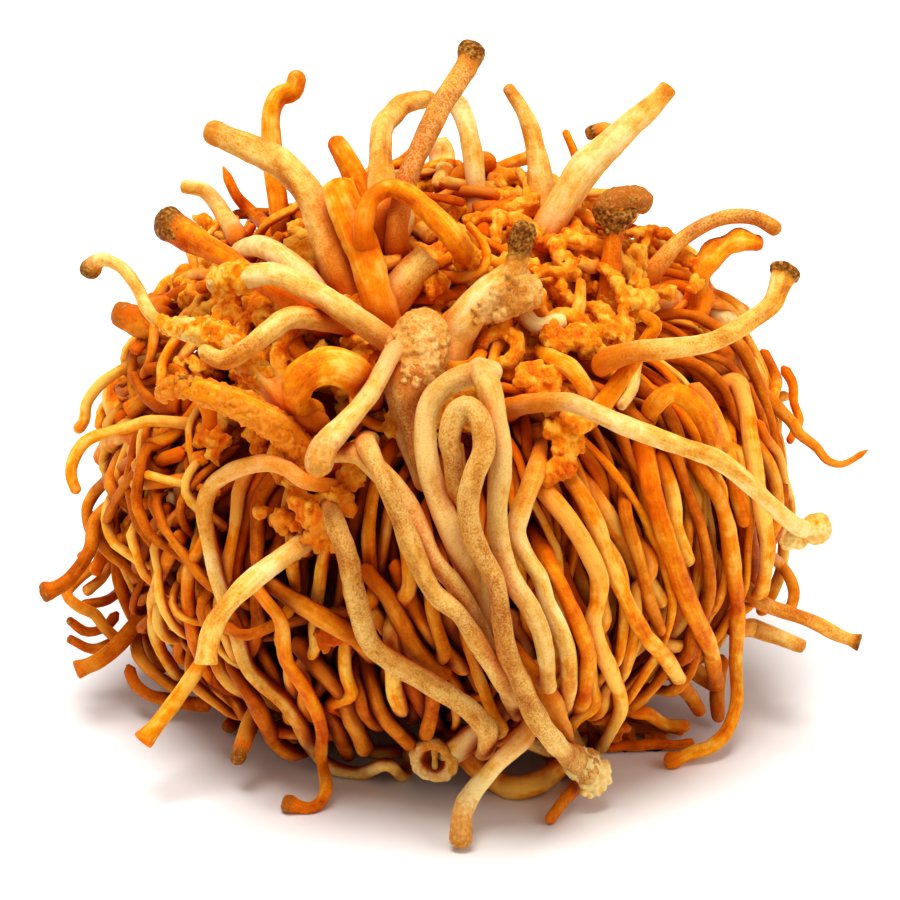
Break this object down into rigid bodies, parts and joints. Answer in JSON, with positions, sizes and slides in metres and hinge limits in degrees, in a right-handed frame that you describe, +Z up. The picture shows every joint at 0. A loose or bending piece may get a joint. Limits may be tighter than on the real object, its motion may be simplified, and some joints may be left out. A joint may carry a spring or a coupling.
{
  "type": "cordyceps bunch",
  "caption": "Loose heap of dried cultivated cordyceps: slender orange stems that stand up as horns and hang as a curtain from a crumbly crown.",
  "frame": {"origin": "middle of the footprint of the whole bunch, on the flat cut it rests on", "axes": "+Z up, -Y towards the front with the powdery fan of stems, X across"},
  "size_m": [0.1187, 0.1071, 0.0993],
  "materials": {
    "orange_flesh": "dried fungus flesh, saturated orange, waxy satin with fine lengthwise wrinkles",
    "pale_flesh": "dried fungus flesh, pale cream orange, satin with fine lengthwise wrinkles",
    "powdery_flesh": "dried fungus flesh dusted with a fine pale powder, matte tan",
    "amber_flesh": "dried fungus flesh, darker amber, satin",
    "crumbly_crown": "crumbly grown-together crown and the tangled stems under the outer ones, rough orange"
  },
  "bodies": {
    "root": {"arched_stem": "pale_flesh", "ball_tipped_stem": "amber_flesh", "big_pale_horn": "pale_flesh", "big_pale_stem": "pale_flesh", "bottom_hook_stem": "orange_flesh", "bottom_stub": "pale_flesh", "bottom_twig": "amber_flesh", "brown_capped_stub": "orange_flesh", "brown_finger": "amber_flesh", "brown_tipped_stem": "pale_flesh", "bunch_heart": "crumbly_crown", "disc_tipped_horn": "pale_flesh", "edge_stem": "amber_flesh", "fan_curled_stem": "powdery_flesh", "fan_inner_stem": "amber_flesh", "fan_left_stem": "powdery_flesh", "fan_long_stem": "powdery_flesh", "fan_main_stem": "powdery_flesh", "fan_middle_stem": "pale_flesh", "fan_outer_stem": "powdery_flesh", "fan_right_stem": "orange_flesh", "far_left_stub": "amber_flesh", "front_head": "powdery_flesh", "front_loop_stem": "orange_flesh", "hollow_cut_stem": "pale_flesh", "hooked_horn": "orange_flesh", "hooked_left_stem": "pale_flesh", "knobbed_stem": "orange_flesh", "left_big_horn": "pale_flesh", "left_long_stem": "orange_flesh", "left_thin_hook": "orange_flesh", "left_yellow_stem": "orange_flesh", "long_knobbed_stem": "pale_flesh", "long_pale_stem": "pale_flesh", "lower_left_twig": "amber_flesh", "orange_arch": "orange_flesh", "orange_bow": "orange_flesh", "orange_hook": "orange_flesh", "outer_left_loop": "orange_flesh", "pale_arch": "pale_flesh", "pale_curl": "pale_flesh", "pale_stick": "pale_flesh", "ragged_leaf": "orange_flesh", "rear_horn": "pale_flesh", "ribbed_stem": "orange_flesh", "right_bent_stem": "orange_flesh", "right_curled_stem": "orange_flesh", "right_double_stub": "pale_flesh", "right_edge_stem": "orange_flesh", "right_hanging_stem": "orange_flesh", "right_hook": "orange_flesh", "right_inner_stem": "orange_flesh", "right_tail": "amber_flesh", "right_upper_horn": "pale_flesh", "second_horn": "orange_flesh", "splayed_cut_stem": "orange_flesh", "swan_stem": "powdery_flesh", "tall_horn": "pale_flesh", "twisted_stem": "amber_flesh", "under_loop": "orange_flesh"}
  },
  "joints": []
}
